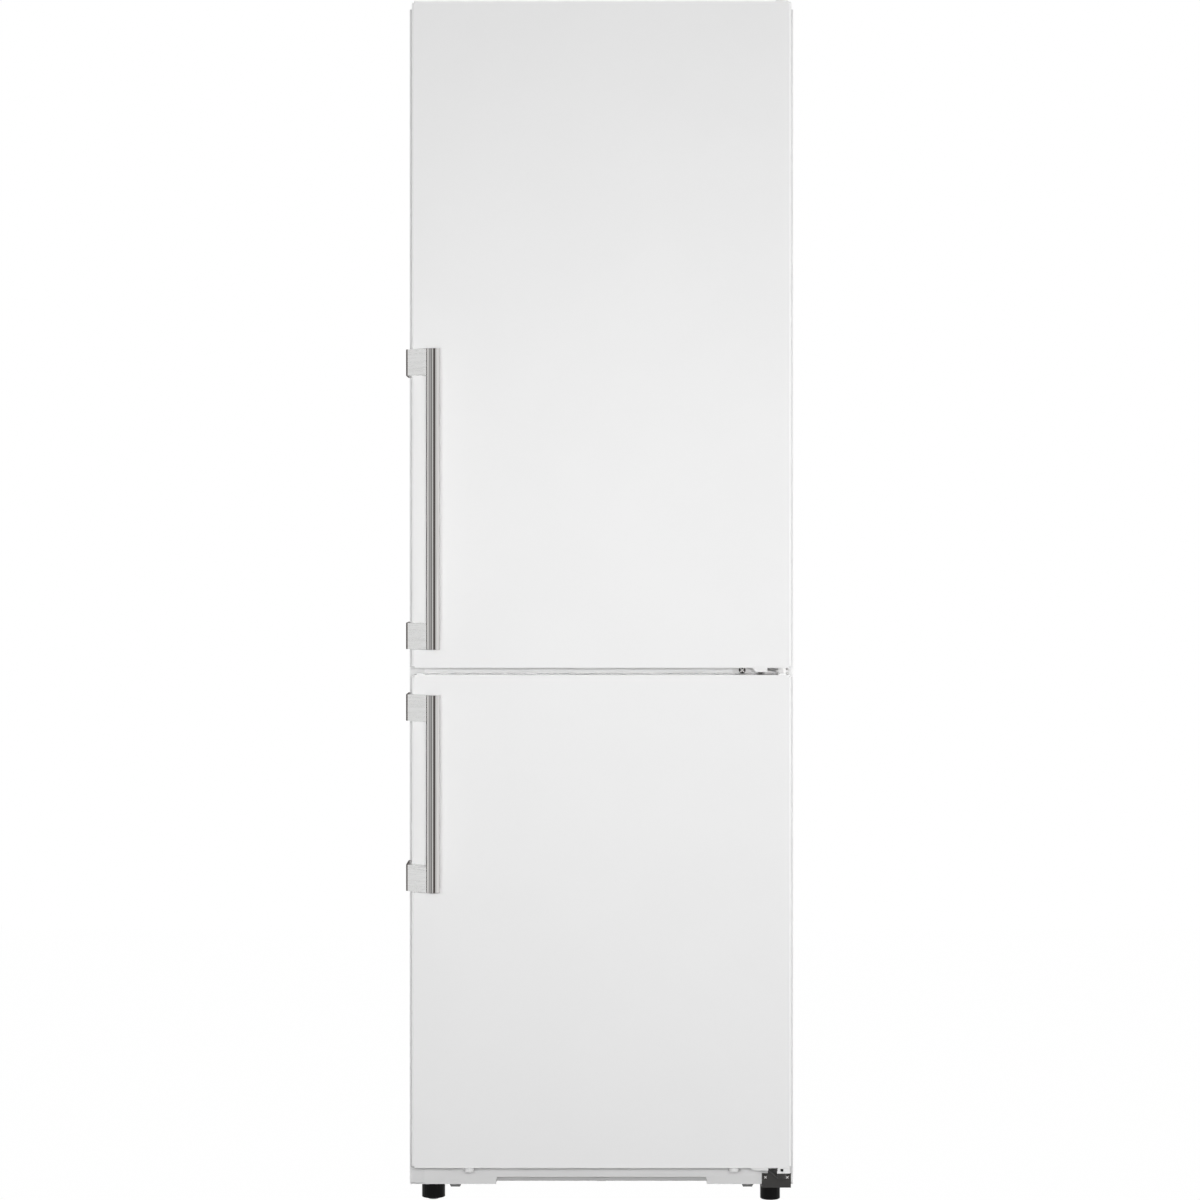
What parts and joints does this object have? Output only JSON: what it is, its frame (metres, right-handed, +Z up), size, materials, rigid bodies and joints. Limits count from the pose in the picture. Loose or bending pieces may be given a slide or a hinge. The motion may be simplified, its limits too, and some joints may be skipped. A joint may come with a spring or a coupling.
{
  "type": "refrigerator",
  "caption": "Free-standing upright refrigerator with a freezer below, smooth white doors hinged on the right and bar handles on the left at the gap between the doors",
  "frame": {"origin": "on the floor under the middle of the overall width and depth", "axes": "+X to the right as seen from the front, +Y to the back, +Z up"},
  "size_m": [0.595, 0.678, 1.862],
  "materials": {
    "door_steel": "smooth gloss enamel",
    "cabinet_steel": "semi-gloss enamel",
    "back_steel": "plain zinc-coated sheet",
    "foam": "rigid foamed filling, hidden",
    "liner": "vacuum-formed, satin",
    "white_plastic": "fine-grained moulding",
    "gasket_rubber": "soft extruded profile",
    "handle_steel": "brushed along the bar",
    "mount_steel": "fine brushing",
    "shelf_glass": "toughened clear glass",
    "clear_plastic": "clear moulding with a cool tint",
    "blue_plastic": "smooth moulding",
    "lamp_plastic": "frosted diffuser",
    "fin_aluminium": "mill finish",
    "dark_plastic": "coarse moulding",
    "motor_steel": "zinc-plated",
    "compressor_paint": "semi-gloss black",
    "zinc_steel": "zinc-coated sheet",
    "mount_rubber": "moulded rubber",
    "condenser_paint": "thin black coat",
    "copper": "drawn copper tube",
    "hinge_zinc": "zinc-plated steel",
    "hinge_dark": "dark grey coat",
    "screw_steel": "bright plated"
  },
  "bodies": {
    "cabinet": {"side_panel_left": "cabinet_steel", "side_panel_right": "cabinet_steel", "top_panel": "cabinet_steel", "back_panel": "back_steel", "base_pan": "cabinet_steel", "cabinet_foam": "foam", "fridge_liner": "liner", "freezer_liner": "liner", "mullion_cover": "cabinet_steel", "glass_shelves": "shelf_glass", "shelf_trims": "white_plastic", "crisper_cover": "shelf_glass", "air_duct": "white_plastic", "control_housing": "white_plastic", "lamp_lens": "lamp_plastic", "evaporator": "fin_aluminium", "evaporator_cover": "liner", "fan_motor": "motor_steel", "drain_tube": "white_plastic", "freezer_shelves": "shelf_glass", "compressor": "compressor_paint", "compressor_tray": "zinc_steel", "compressor_mounts": "mount_rubber", "drip_tray": "white_plastic", "condenser": "condenser_paint", "refrigerant_pipes": "copper", "power_inlet": "dark_plastic", "top_hinge": "hinge_zinc", "middle_hinge": "hinge_zinc", "bottom_hinge": "hinge_dark", "hinge_cover": "white_plastic", "hinge_screws": "screw_steel"},
    "fridge_door": {"fridge_door_skin": "door_steel", "fridge_door_liner": "liner", "fridge_door_foam": "foam", "fridge_door_end_caps": "white_plastic", "fridge_door_gasket": "gasket_rubber", "fridge_handle_bar": "handle_steel", "fridge_handle_mounts": "mount_steel", "dairy_bin": "clear_plastic", "door_bins": "clear_plastic"},
    "freezer_door": {"freezer_door_skin": "door_steel", "freezer_door_liner": "liner", "freezer_door_foam": "foam", "freezer_door_end_caps": "white_plastic", "freezer_door_gasket": "gasket_rubber", "freezer_handle_bar": "handle_steel", "freezer_handle_mounts": "mount_steel"},
    "lid": {"dairy_lid": "clear_plastic"},
    "crisper": {"crisper_drawer": "clear_plastic"},
    "slider": {"humidity_slider": "blue_plastic"},
    "dial": {"temperature_knob": "blue_plastic"},
    "fan": {"evaporator_fan": "dark_plastic"},
    "upper_drawer": {"freezer_drawer_upper": "clear_plastic"},
    "middle_drawer": {"freezer_drawer_middle": "clear_plastic"},
    "lower_drawer": {"freezer_drawer_lower": "clear_plastic"},
    "left_foot": {"front_foot_left": "dark_plastic"},
    "right_foot": {"front_foot_right": "dark_plastic"},
    "left_roller": {"rear_roller_left": "dark_plastic"},
    "right_roller": {"rear_roller_right": "dark_plastic"}
  },
  "joints": [
    {"name": "fridge_door_hinge", "type": "hinge", "parent": "cabinet", "child": "fridge_door", "pos_m": [0.276, -0.277, 1.3405], "axis": [0, 0, 1], "range_deg": [0, 115]},
    {"name": "freezer_door_hinge", "type": "hinge", "parent": "cabinet", "child": "freezer_door", "pos_m": [0.276, -0.277, 0.445], "axis": [0, 0, 1], "range_deg": [0, 115]},
    {"name": "dairy_lid_hinge", "type": "hinge", "parent": "fridge_door", "child": "lid", "pos_m": [0, -0.219, 1.6505], "axis": [1, 0, 0], "range_deg": [0, 85]},
    {"name": "crisper_slide", "type": "slide", "parent": "cabinet", "child": "crisper", "axis": [0, -1, 0], "range_m": [0, 0.03]},
    {"name": "humidity_slide", "type": "slide", "parent": "cabinet", "child": "slider", "axis": [1, 0, 0], "range_m": [-0.02, 0.02]},
    {"name": "temperature_dial", "type": "hinge", "parent": "cabinet", "child": "dial", "pos_m": [0.1, -0.15, 1.784], "axis": [0, -1, 0], "range_deg": [0, 270]},
    {"name": "fan_spin", "type": "hinge", "parent": "cabinet", "child": "fan", "pos_m": [0, 0.208, 0.606], "axis": [0, -1, 0], "continuous": true},
    {"name": "upper_drawer_slide", "type": "slide", "parent": "cabinet", "child": "upper_drawer", "axis": [0, -1, 0], "range_m": [0, 0.022]},
    {"name": "middle_drawer_slide", "type": "slide", "parent": "cabinet", "child": "middle_drawer", "axis": [0, -1, 0], "range_m": [0, 0.022]},
    {"name": "lower_drawer_slide", "type": "slide", "parent": "cabinet", "child": "lower_drawer", "axis": [0, -1, 0], "range_m": [0, 0.022]},
    {"name": "left_foot_screw", "type": "slide", "parent": "cabinet", "child": "left_foot", "axis": [0, 0, -1], "range_m": [0, 0.015]},
    {"name": "right_foot_screw", "type": "slide", "parent": "cabinet", "child": "right_foot", "axis": [0, 0, -1], "range_m": [0, 0.015]},
    {"name": "left_roller_spin", "type": "hinge", "parent": "cabinet", "child": "left_roller", "pos_m": [-0.2555, 0.269, 0.018], "axis": [1, 0, 0], "continuous": true},
    {"name": "right_roller_spin", "type": "hinge", "parent": "cabinet", "child": "right_roller", "pos_m": [0.2555, 0.269, 0.018], "axis": [1, 0, 0], "continuous": true}
  ]
}
